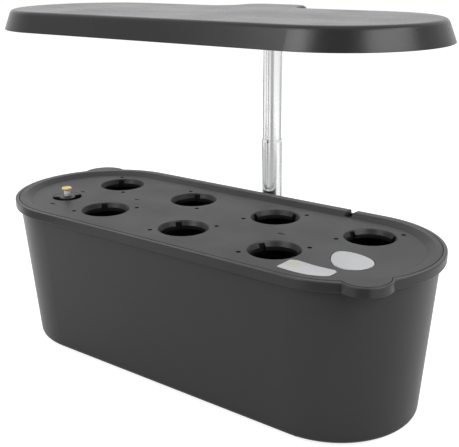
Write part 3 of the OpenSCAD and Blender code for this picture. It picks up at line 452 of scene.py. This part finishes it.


# "crease" holds the reach and depth of the painted shade in creases, and "sunk" the heights in mm
# between which the painted shade inside the openings takes the tone down to its third number
lens = {"roughness": 0.15, "roughShift": 0.03,
        "grainSize": 0.0002, "grainDepth": 0.00001, "cloudSize": 0.0008, "cloudShare": 0.2,
        "wear": 0.0, "wearTone": 1.0, "edgeRadius": 0.0001, "dust": 0.0, "specular": 0.6}
plastics = {
    "tankPlastic": {"colour": (0.0235, 0.0235, 0.0245), "roughness": 0.32, "roughShift": 0.03,
                    "grainSize": 0.00055, "grainDepth": 0.00003, "cloudSize": 0.09, "cloudShare": 0.05,
                    "wear": 0.35, "wearTone": 1.6, "edgeRadius": 0.0005, "dust": 0.12, "specular": 0.37,
                    "crease": (0.012, 0.85)},
    "deckPlastic": {"colour": (0.029, 0.029, 0.030), "roughness": 0.45, "roughShift": 0.04,
                    "grainSize": 0.0006, "grainDepth": 0.00004, "cloudSize": 0.06, "cloudShare": 0.06,
                    "wear": 0.3, "wearTone": 1.5, "edgeRadius": 0.0004, "dust": 0.12, "specular": 0.34,
                    "crease": (0.006, 0.9), "sunk": (130.1, 128.9, 0.22)},
    "lampPlastic": {"colour": (0.0125, 0.0125, 0.0132), "roughness": 0.27, "roughShift": 0.03,
                    "grainSize": 0.0005, "grainDepth": 0.00003, "cloudSize": 0.11, "cloudShare": 0.05,
                    "wear": 0.3, "wearTone": 1.6, "edgeRadius": 0.0006, "dust": 0.15, "specular": 0.26},
    "blackPlastic": {"colour": (0.016, 0.016, 0.018), "roughness": 0.45, "roughShift": 0.05,
                     "grainSize": 0.0004, "grainDepth": 0.00003, "cloudSize": 0.03, "cloudShare": 0.1,
                     "wear": 0.5, "wearTone": 2.4, "edgeRadius": 0.0003, "dust": 0.2, "specular": 0.4,
                     "crease": (0.006, 0.6)},
    "gaugeWhite": {"colour": (0.74, 0.735, 0.75), "roughness": 0.3, "roughShift": 0.05,
                   "grainSize": 0.0004, "grainDepth": 0.00001, "cloudSize": 0.004, "cloudShare": 0.05,
                   "wear": 0.3, "wearTone": 0.8, "edgeRadius": 0.0003, "dust": 0.05, "specular": 0.5,
                   "crease": (0.004, 0.4)},
    "gaugeYellow": {"colour": (0.86, 0.63, 0.24), "roughness": 0.28, "roughShift": 0.05,
                    "grainSize": 0.0004, "grainDepth": 0.00001, "cloudSize": 0.003, "cloudShare": 0.10,
                    "wear": 0.4, "wearTone": 1.15, "edgeRadius": 0.0003, "dust": 0.05, "specular": 0.5},
    "foamWhite": {"colour": (0.78, 0.77, 0.73), "roughness": 0.85, "roughShift": 0.05,
                  "grainSize": 0.0016, "grainDepth": 0.00018, "cloudSize": 0.01, "cloudShare": 0.06,
                  "wear": 0.3, "wearTone": 0.85, "edgeRadius": 0.0006, "dust": 0.1, "specular": 0.2,
                  "crease": (0.004, 0.4)},
    "feetRubber": {"colour": (0.018, 0.018, 0.018), "roughness": 0.8, "roughShift": 0.06,
                   "grainSize": 0.0005, "grainDepth": 0.00006, "cloudSize": 0.01, "cloudShare": 0.15,
                   "wear": 0.3, "wearTone": 2.2, "edgeRadius": 0.0004, "dust": 0.4, "specular": 0.25},
    "cupSilicone": {"colour": (0.34, 0.36, 0.38), "roughness": 0.4, "roughShift": 0.05,
                    "grainSize": 0.0007, "grainDepth": 0.00002, "cloudSize": 0.006, "cloudShare": 0.08,
                    "wear": 0.2, "wearTone": 1.3, "edgeRadius": 0.0003, "dust": 0.15, "specular": 0.4,
                    "crease": (0.003, 0.3)},
    "ceramicWhite": {"colour": (0.80, 0.79, 0.76), "roughness": 0.35, "roughShift": 0.04,
                     "grainSize": 0.0003, "grainDepth": 0.00001, "cloudSize": 0.004, "cloudShare": 0.04,
                     "wear": 0.1, "wearTone": 0.9, "edgeRadius": 0.0001, "dust": 0.05, "specular": 0.5},
    "packageWhite": {"colour": (0.80, 0.79, 0.74), "roughness": 0.42, "roughShift": 0.04,
                     "grainSize": 0.0003, "grainDepth": 0.00001, "cloudSize": 0.004, "cloudShare": 0.04,
                     "wear": 0.1, "wearTone": 0.9, "edgeRadius": 0.0001, "dust": 0.05, "specular": 0.4,
                     "crease": (0.0006, 0.4)},
    "phosphorYellow": {**lens, "colour": (0.90, 0.66, 0.10), "roughness": 0.22, "roughShift": 0.04,
                       "cloudShare": 0.12, "specular": 0.5},
    "lensRed": {**lens, "colour": (0.62, 0.05, 0.03)},
    "lensBlue": {**lens, "colour": (0.04, 0.10, 0.60)},
}
paints = {name: mouldedPlastic(name, look, plasticWearAndShade) for name, look in plastics.items()}


# Polished tube: fine rings of the polishing belt smear what it mirrors up and down, not sideways
def ringPolished(name, look):
    paint, tree, shader, place = newPaint(name)
    rings = noise(tree, place, look["ringSize"], 1, look["ringStretch"])
    smears = noise(tree, place, look["smearSize"], 3, look["smearStretch"])
    tone = blendColours(tree, spread(tree, smears, *wideNoise),
                        shade(look["colour"], look["smearTone"]), look["colour"])
    tree.links.new(tone, shader.inputs["Base Color"])
    shader.inputs["Metallic"].default_value = 1
    roughen(tree, shader, smears, wideNoise, look)
    addBump(tree, shader, rings, look["ringDepth"], softEdges(tree, look["edgeRadius"]))
    return paint


# Plated steel of the screws
def platedSteel(name, look):
    paint, tree, shader, place = newPaint(name)
    flecks = noise(tree, place, look["fleckSize"], 3)
    tone = blendColours(tree, spread(tree, flecks, *coreNoise),
                        shade(look["colour"], look["fleckTone"]), look["colour"])
    tree.links.new(tone, shader.inputs["Base Color"])
    shader.inputs["Metallic"].default_value = 1
    roughen(tree, shader, flecks, wideNoise, look)
    addBump(tree, shader, flecks, look["fleckDepth"], softEdges(tree, look["edgeRadius"]))
    return paint


# Silver lacquer of the key: fine metal flakes under a clear coat
def silverLacquer(name, look):
    paint, tree, shader, place = newPaint(name)
    colour, swing = look["colour"], look["flakeSwing"]
    flakes = cells(tree, place, look["flakeSize"])
    clouds = noise(tree, place, look["cloudSize"], 3)
    tone = blendColours(tree, spread(tree, flakes, *look["flakeSpan"]),
                        shade(colour, 1 + swing), shade(colour, 1 - swing))
    tone = blendColours(tree, spread(tree, clouds, *wideNoise), tone, colour)
    tree.links.new(tone, shader.inputs["Base Color"])
    shader.inputs["Metallic"].default_value = look["metal"]
    roughen(tree, shader, flakes, look["flakeSpan"], look)
    shader.inputs["Coat Weight"].default_value = look["coat"]
    shader.inputs["Coat Roughness"].default_value = look["coatRoughness"]
    addBump(tree, shader, flakes, look["flakeDepth"], softEdges(tree, look["edgeRadius"]))
    return paint


# Label stock: coated paper, bare but for a pale green tint near its left end
def coatedPaper(name, look):
    paint, tree, shader, place = newPaint(name)
    dark, light = look["fibreTones"]
    fibres = noise(tree, place, look["fibreSize"], 4)
    tone = blendColours(tree, spread(tree, fibres, *wideNoise),
                        shade(look["colour"], dark), shade(look["colour"], light))
    middle = tree.nodes.new("ShaderNodeVectorMath")
    middle.operation = "DISTANCE"
    tree.links.new(place, middle.inputs[0])
    middle.inputs[1].default_value = [c * mm for c in look["tintAt"]]
    outer, inner = look["tintRadius"], look["tintRadius"] - look["tintFade"]
    tint = spread(tree, middle.outputs["Value"], outer * mm, inner * mm, 0.0, look["tintShare"])
    tone = blendColours(tree, tint, tone, look["tint"])
    tree.links.new(tone, shader.inputs["Base Color"])
    shader.inputs["Roughness"].default_value = look["roughness"]
    shader.inputs["Specular IOR Level"].default_value = look["specular"]
    addBump(tree, shader, fibres, look["fibreDepth"], softEdges(tree, look["edgeRadius"]))
    return paint


# Solder mask: the copper under it stands up a little and shows a lighter tone. Pitches, the copper's half
# width and its edges are in mm
maskDetail = {"stripEdge": 0.15, "gap": (0.35, 0.5), "grainSize": 0.0012, "grainTone": 0.93,
              "grainHeight": 0.1, "roughness": 0.37, "roughShift": (0.05, 0.05), "depth": 0.00005,
              "edgeRadius": 0.0001}


def fromLines(tree, value, pitch):
    turns = calc(tree, "ADD", times(tree, value, 1 / pitch), 0.5)
    within = calc(tree, "FLOORED_MODULO", turns, 1)
    return times(tree, calc(tree, "ABSOLUTE", calc(tree, "SUBTRACT", within, 0.5)), pitch)


def solderMask(name, look, detail):
    paint, tree, shader, place = newPaint(name)
    axes = axesOf(tree, place)
    across = fromLines(tree, axes["Y"], look["pitchY"] * mm)
    along = fromLines(tree, axes["X"], look["pitchX"] * mm)
    strip = spread(tree, across, look["strip"] * mm, (look["strip"] - detail["stripEdge"]) * mm)
    gap = spread(tree, along, *[c * mm for c in detail["gap"]])
    copper = times(tree, strip, gap)
    grain = noise(tree, place, detail["grainSize"], 3)
    tone = blendColours(tree, copper, look["colour"], look["overCopper"])
    tone = blendColours(tree, spread(tree, grain, *coreNoise),
                        shade(look["colour"], detail["grainTone"]), tone)
    tree.links.new(tone, shader.inputs["Base Color"])
    roughen(tree, shader, grain, wideNoise, detail)
    height = calc(tree, "ADD", copper, times(tree, grain, detail["grainHeight"]))
    addBump(tree, shader, height, detail["depth"], softEdges(tree, detail["edgeRadius"]))
    return paint


paints["polishedTube"] = ringPolished("polishedTube", {
    "colour": (0.76, 0.765, 0.77), "roughness": 0.085, "roughShift": (0.02, 0.03), "edgeRadius": 0.0002,
    "ringSize": 0.00016, "ringDepth": 0.000035, "ringStretch": (0.004, 0.004, 1),
    "smearSize": 0.018, "smearStretch": (1, 1, 0.3), "smearTone": 0.94})
paints["steel"] = platedSteel("steel", {
    "colour": (0.56, 0.56, 0.57), "roughness": 0.34, "roughShift": (0.05, 0.08), "edgeRadius": 0.00015,
    "fleckSize": 0.0008, "fleckDepth": 0.00001, "fleckTone": 0.85})
paints["keySilver"] = silverLacquer("keySilver", {
    "colour": (0.47, 0.48, 0.49), "roughness": 0.36, "roughShift": (0.05, 0.07), "metal": 0.45,
    "edgeRadius": 0.0002,
    "flakeSize": 0.00035, "flakeDepth": 0.000006, "flakeSpan": (0.1, 0.6), "flakeSwing": 0.08,
    "cloudSize": 0.02, "coat": 0.25, "coatRoughness": 0.22})
paints["labelPaper"] = coatedPaper("labelPaper", {
    "colour": (0.41, 0.41, 0.425), "roughness": 0.38, "specular": 0.35, "edgeRadius": 0.00008,
    "fibreSize": 0.0006, "fibreDepth": 0.000004, "fibreTones": (0.95, 1.03),
    "tintAt": (114.6, -50.2, 130.4), "tintRadius": 5.6, "tintFade": 0.7,
    "tint": (0.38, 0.40, 0.25), "tintShare": 0.6})
paints["panelMask"] = solderMask("panelMask", {
    "colour": (0.80, 0.80, 0.78), "overCopper": (0.86, 0.85, 0.80),
    "pitchX": 19.0, "pitchY": 21.0, "strip": 4.2}, maskDetail)
paints["boardGreen"] = solderMask("boardGreen", {
    "colour": (0.014, 0.10, 0.042), "overCopper": (0.03, 0.20, 0.08),
    "pitchX": 3.1, "pitchY": 2.3, "strip": 0.35}, maskDetail)

slotPaints = {
    "tank_plastic": "tankPlastic", "deck_plastic": "deckPlastic", "lamp_plastic": "lampPlastic",
    "black_plastic": "blackPlastic", "rubber": "feetRubber", "gasket_rubber": "feetRubber",
    "polished_tube": "polishedTube", "steel": "steel", "panel_white": "panelMask",
    "led_white": "packageWhite", "led_red": "packageWhite", "led_blue": "packageWhite",
    "key_silver": "keySilver", "gauge_white": "gaugeWhite", "gauge_yellow": "gaugeYellow",
    "float_foam": "foamWhite", "board_green": "boardGreen", "ceramic_white": "ceramicWhite",
    "cup_silicone": "cupSilicone",
}
for part in frame["record"]["subparts"]:
    if part.get("node") in nodes:
        piece = nodes[part["node"]]
        piece.data.materials.clear()
        piece.data.materials.append(paints[slotPaints[part["material_slot"]]])
print("finishes made")


# Steps that the new pieces share
smoothAngle = 40  # degrees; sharper edges stay sharp


def shapeMesh(piece):
    startFresh()
    bpy.context.view_layer.objects.active = piece
    piece.select_set(True)
    bpy.ops.object.mode_set(mode="EDIT")
    bpy.ops.mesh.select_mode(type="FACE")
    bpy.ops.mesh.select_all(action="DESELECT")
    return bmesh.from_edit_mesh(piece.data)


def pickFaces(piece, mesh, wanted):
    for face in mesh.faces:
        face.select_set(bool(wanted(face)))
    bmesh.update_edit_mesh(piece.data)


def drawUp(height):
    bpy.ops.mesh.extrude_region_move(TRANSFORM_OT_translate={"value": (0, 0, height * mm)})


def closeMesh():
    bpy.ops.mesh.select_all(action="SELECT")
    bpy.ops.mesh.normals_make_consistent(inside=False)
    bpy.ops.object.mode_set(mode="OBJECT")


def nameIt(piece, name):
    piece.name = name
    piece.data.name = name
    return piece


def settle(piece, finishes, body, replaced=()):
    startFresh()
    bpy.context.view_layer.objects.active = piece
    piece.select_set(True)
    bpy.ops.object.transform_apply(location=True, rotation=True, scale=True)
    bpy.ops.object.shade_smooth_by_angle(angle=math.radians(smoothAngle))
    for finish in finishes:
        piece.data.materials.append(paints[finish])
    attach(piece, body)
    if replaced:
        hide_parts(*replaced)


# Turned piece: a circle drawn out ring by ring along a profile of radius and height
def turned(name, middle, profile, points):
    startFresh()
    x, y = middle[0] * mm, middle[1] * mm
    radius, height = profile[0]
    bpy.ops.mesh.primitive_circle_add(vertices=points, radius=radius * mm, fill_type="NGON",
                                      location=(x, y, height * mm))
    piece = nameIt(bpy.context.active_object, name)
    bpy.ops.object.transform_apply(location=True, rotation=True, scale=True)
    shapeMesh(piece)
    bpy.ops.mesh.select_all(action="SELECT")
    for nextRadius, nextHeight in profile[1:]:
        drawUp(nextHeight - height)
        share = nextRadius / radius
        bpy.ops.transform.resize(value=(share, share, 1), center_override=(x, y, nextHeight * mm))
        radius, height = nextRadius, nextHeight
    bpy.ops.mesh.poke()
    closeMesh()
    return piece


# Level gauge: a white pin with a dished yellow knob
gauge = {
    "middle": (-143.2, -25.2), "points": 48,
    "pin": [(1.7, 84.8), (2.0, 85.1), (2.0, 130.7), (2.15, 130.9), (2.55, 130.95), (2.75, 131.2),
            (2.75, 134.9), (2.62, 135.3), (2.3, 135.6), (2.2, 136.1)],
    "knob": [(2.6, 136.1), (2.95, 136.25), (3.5, 136.7), (4.1, 137.3), (4.42, 137.75), (4.5, 138.1),
             (4.44, 138.45), (4.25, 138.74), (3.95, 138.92), (3.6, 138.98), (3.2, 138.9), (2.8, 138.62),
             (2.2, 138.45), (1.2, 138.38)],
}
gaugePin = turned("gaugePin", gauge["middle"], gauge["pin"], gauge["points"])
settle(gaugePin, ["gaugeWhite"], "gauge", ["float_pin"])
gaugeKnob = turned("gaugeKnob", gauge["middle"], gauge["knob"], gauge["points"])
settle(gaugeKnob, ["gaugeYellow"], "gauge", ["float_cap"])
print("gauge turned")


# Control key: an egg-shaped crowned button with a hidden flange
key = {
    "middle": (142.8, -20.0), "longHalf": 18.9, "shortHalf": 14.2, "egg": 0.28, "turn": 145.0,
    "flange": 1.6, "flangeLow": 126.2, "flangeHigh": 127.6, "sideTop": 130.25,
    "rim": 0.75, "rimRise": 0.42, "rimSteps": 6,  # rounded shoulder
    "crown": 0.38, "rings": 9, "points": 96,
}


def eggOutline(grown):
    points = []
    turn = math.radians(key["turn"])
    for i in range(key["points"]):
        t = 2 * math.pi * i / key["points"]
        x = (key["longHalf"] + grown) * math.cos(t)
        y = (key["shortHalf"] + grown) * (1 - key["egg"] * math.cos(t)) * math.sin(t)
        points.append((key["middle"][0] + x * math.cos(turn) - y * math.sin(turn),
                       key["middle"][1] + x * math.sin(turn) + y * math.cos(turn)))
    return points


def keyLevels():
    levels = [(key["flange"], key["flangeLow"]), (key["flange"], key["flangeHigh"]),
              (0, key["flangeHigh"]), (0, key["sideTop"])]
    for step in range(1, key["rimSteps"] + 1):
        a = math.radians(90 * step / key["rimSteps"])
        levels.append((-key["rim"] * (1 - math.cos(a)), key["sideTop"] + key["rimRise"] * math.sin(a)))
    return levels


# The ring and the outline are both sorted by their direction from the middle, so that point meets point
def moveRing(ring, grown, height):
    midX, midY = key["middle"]
    places = sorted(eggOutline(grown), key=lambda p: math.atan2(p[1] - midY, p[0] - midX))
    order = sorted(ring, key=lambda v: math.atan2(v.co.y - midY * mm, v.co.x - midX * mm))
    for vert, (x, y) in zip(order, places):
        vert.co = (x * mm, y * mm, height * mm)


def makeKey():
    levels = keyLevels()
    startFresh()
    bpy.ops.mesh.primitive_circle_add(vertices=key["points"], radius=1, fill_type="NGON")
    piece = nameIt(bpy.context.active_object, "keyButton")
    mesh = shapeMesh(piece)
    mesh.verts.ensure_lookup_table()
    for vert, (x, y) in zip(mesh.verts, eggOutline(levels[0][0])):
        vert.co = (x * mm, y * mm, levels[0][1] * mm)
    pickFaces(piece, mesh, lambda face: True)
    bpy.ops.mesh.select_all(action="SELECT")
    for grown, height in levels[1:]:
        bpy.ops.mesh.extrude_region_move()
        mesh = bmesh.from_edit_mesh(piece.data)
        moveRing([vert for vert in mesh.verts if vert.select], grown, height)
        bmesh.update_edit_mesh(piece.data)
    top = [c * mm for c in (*key["middle"], levels[-1][1])]
    share = 1.0
    for ring in range(key["rings"]):
        nextShare = 1 - (ring + 1) / (key["rings"] + 0.5)
        drawUp(key["crown"] * (share ** 2 - nextShare ** 2))
        bpy.ops.transform.resize(value=(nextShare / share, nextShare / share, 1), center_override=top)
        share = nextShare
    bpy.ops.mesh.poke()
    closeMesh()
    return piece


settle(makeKey(), ["keySilver"], "key", ["control_key"])
print("key shaped")


# Label: a thin blank sticker with softened corners, beside the key
label = {
    "corners": [(107.2, -60.6), (107.6, -43.4), (112.5, -41.7), (128.5, -43.7), (144.0, -43.2),
                (146.9, -45.5), (146.2, -54.8), (142.0, -57.9), (133.7, -60.9), (127.3, -61.8),
                (118.9, -61.6)],
    "low": 130.32, "thickness": 0.14, "cornerRadius": 1.3, "cornerSteps": 5,
    "edge": 0.25, "edgeRise": 0.03,
}


def makeLabel():
    startFresh()
    bpy.ops.mesh.primitive_circle_add(vertices=len(label["corners"]), radius=1, fill_type="NGON")
    piece = nameIt(bpy.context.active_object, "blankLabel")
    mesh = shapeMesh(piece)
    mesh.verts.ensure_lookup_table()
    for vert, (x, y) in zip(mesh.verts, label["corners"]):
        vert.co = (x * mm, y * mm, label["low"] * mm)
    bmesh.update_edit_mesh(piece.data)
    bpy.ops.mesh.select_all(action="SELECT")
    bpy.ops.mesh.bevel(offset=label["cornerRadius"] * mm, segments=label["cornerSteps"], affect="VERTICES")
    bpy.ops.mesh.select_all(action="SELECT")
    drawUp(label["thickness"])
    bpy.ops.mesh.inset(thickness=label["edge"] * mm, depth=label["edgeRise"] * mm)
    closeMesh()
    return piece


settle(makeLabel(), ["labelPaper"], "deck")
print("label laid")


# LEDs: a white package with a sloped cup, a domed filling and two soldered ends
led = {
    "length": 4.2, "width": 3.2, "height": 0.86, "edge": 0.12,
    "wall": 0.42, "cupDepth": 0.28, "cupTaper": (0.88, 0.84, 1), "bead": 0.3, "dome": 0.12,
    "padLength": 0.5, "padWidth": 2.5, "padHeight": 0.34, "padEdge": 0.1, "padHidden": 0.1,
    "kinds": {"white_leds": ("whiteLeds", "phosphorYellow", "led_white"),
              "red_leds": ("redLeds", "lensRed", "led_red"),
              "blue_leds": ("blueLeds", "lensBlue", "led_blue")},
}


# Lowest and highest corners of each loose solid in a node, in order of their places
def islandBoxes(node):
    copy = bmesh.new()
    copy.from_mesh(node.data)
    bmesh.ops.remove_doubles(copy, verts=copy.verts, dist=0.01 * mm)
    seen, boxes = set(), []
    for first in copy.verts:
        if first in seen:
            continue
        group, queue = [], [first]
        seen.add(first)
        while queue:
            vert = queue.pop()
            group.append(vert.co.copy())
            for edge in vert.link_edges:
                other = edge.other_vert(vert)
                if other not in seen:
                    seen.add(other)
                    queue.append(other)
        low = Vector([min(co[i] for co in group) for i in range(3)])
        high = Vector([max(co[i] for co in group) for i in range(3)])
        boxes.append((low, high))
    copy.free()
    return sorted(boxes, key=lambda pair: (round(pair[0].x, 5), round(pair[0].y, 5)))


def block(name, size, middle, edge):
    startFresh()
    bpy.ops.mesh.primitive_cube_add(size=1, location=[c * mm for c in middle], scale=[c * mm for c in size])
    piece = nameIt(bpy.context.active_object, name)
    bpy.ops.object.transform_apply(location=True, rotation=True, scale=True)
    shapeMesh(piece)
    bpy.ops.mesh.select_all(action="SELECT")
    bpy.ops.mesh.bevel(offset=edge * mm, segments=1, affect="EDGES")
    bpy.ops.object.mode_set(mode="OBJECT")
    return piece


def joined(pieces, name):
    startFresh()
    for piece in pieces:
        piece.select_set(True)
    bpy.context.view_layer.objects.active = pieces[0]
    bpy.ops.object.join()
    return nameIt(bpy.context.active_object, name)


def makeLedEnd(side):
    x = side * (led["length"] / 2 + led["padLength"] / 2 - led["padHidden"])
    end = block("ledEnd", (led["padLength"], led["padWidth"], led["padHeight"]),
                (x, 0, -led["padHeight"] / 2), led["padEdge"])
    for face in end.data.polygons:
        face.material_index = 2
    return end


# The package's back lies at 0 and its light comes out downwards, as under the lamp
def makeLedPackage():
    body = block("ledPackage", (led["length"], led["width"], led["height"]),
                 (0, 0, -led["height"] / 2), led["edge"])
    mesh = shapeMesh(body)
    front = min(mesh.faces, key=lambda face: face.calc_center_median().z)
    pickFaces(body, mesh, lambda face: face == front)
    bpy.ops.mesh.inset(thickness=led["wall"] * mm)
    drawUp(led["cupDepth"])
    bpy.ops.transform.resize(value=led["cupTaper"])
    bpy.ops.mesh.inset(thickness=led["bead"] * mm)
    for face in bmesh.from_edit_mesh(body.data).faces:
        face.material_index = 1 if face.select else 0
    bpy.ops.mesh.poke(offset=led["dome"] * mm)
    bpy.ops.object.mode_set(mode="OBJECT")
    return joined([body, makeLedEnd(-1), makeLedEnd(1)], "ledPackage")


def placeLeds():
    pattern = makeLedPackage()
    for node, (name, filling, slotName) in led["kinds"].items():
        copies = []
        for low, high in islandBoxes(nodes[node]):
            copy = pattern.copy()
            copy.data = pattern.data.copy()
            copy.data.transform(Matrix.Translation(((low.x + high.x) / 2, (low.y + high.y) / 2, high.z)))
            bpy.context.scene.collection.objects.link(copy)
            copies.append(copy)
        settle(joined(copies, name), ["packageWhite", filling, "steel"], "lamp", [node])
    bpy.data.objects.remove(pattern)


placeLeds()
print("LEDs placed")
